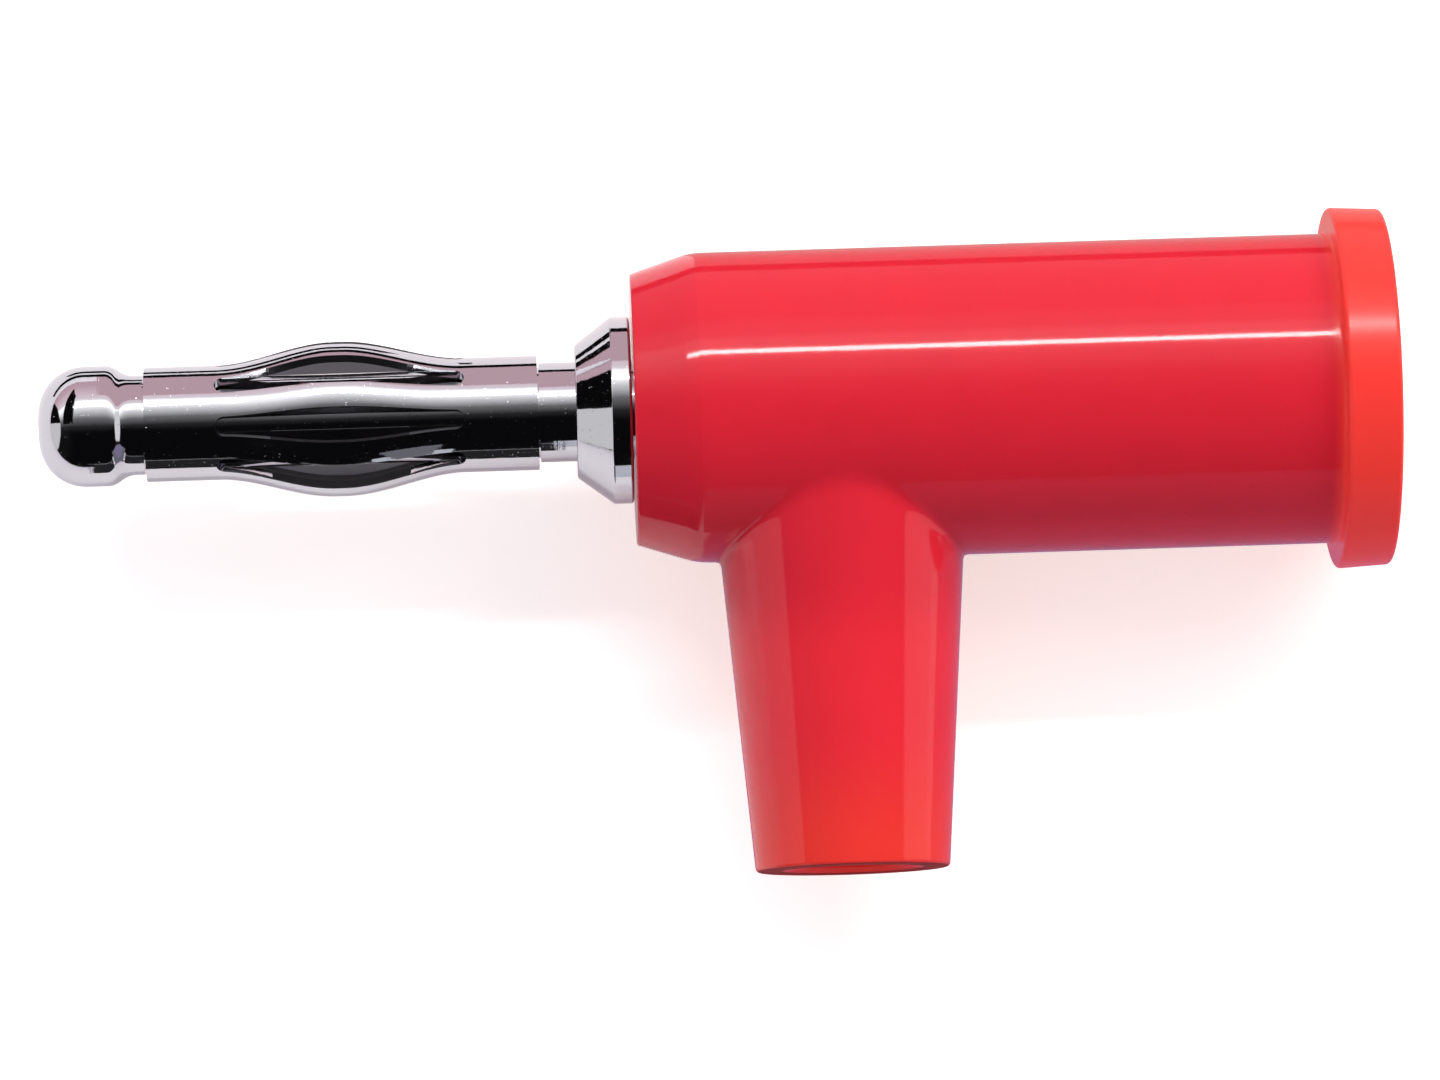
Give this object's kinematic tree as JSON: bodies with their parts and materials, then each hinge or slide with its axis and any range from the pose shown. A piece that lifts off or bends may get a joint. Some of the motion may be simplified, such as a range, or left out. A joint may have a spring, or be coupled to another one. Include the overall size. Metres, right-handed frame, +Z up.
{
  "type": "banana plug",
  "caption": "Stackable 4 mm plug: lantern spring pin, red insulating housing with a flange, cable spout at right angles and a rear socket.",
  "frame": {"origin": "bottom centre of the plug's box: z = 0 is the lowest point of the flange's rim", "axes": "the pin's axis lies along X with the tip at -X and the flange at +X; the cable spout points to -Y; +Z is up"},
  "size_m": [0.0448, 0.0215, 0.012],
  "materials": {
    "red_polyamide": "glossy moulded red polyamide, faintly translucent",
    "nickel_plate": "bright nickel plate on turned brass",
    "spring_plate": "bright nickel plate on rolled spring sheet"
  },
  "bodies": {
    "plug_body": {"housing": "red_polyamide", "socket_sleeve": "nickel_plate"},
    "pin": {"contact_pin": "nickel_plate"},
    "spring": {"lantern_spring": "spring_plate"}
  },
  "joints": [
    {"name": "pin_thread", "type": "slide", "parent": "plug_body", "child": "pin", "axis": [-1, 0, 0], "range_m": [0, 0.004]},
    {"name": "spring_spin", "type": "hinge", "parent": "pin", "child": "spring", "pos_m": [-0.0123, 0.00475, 0.006], "axis": [1, 0, 0], "continuous": true}
  ]
}
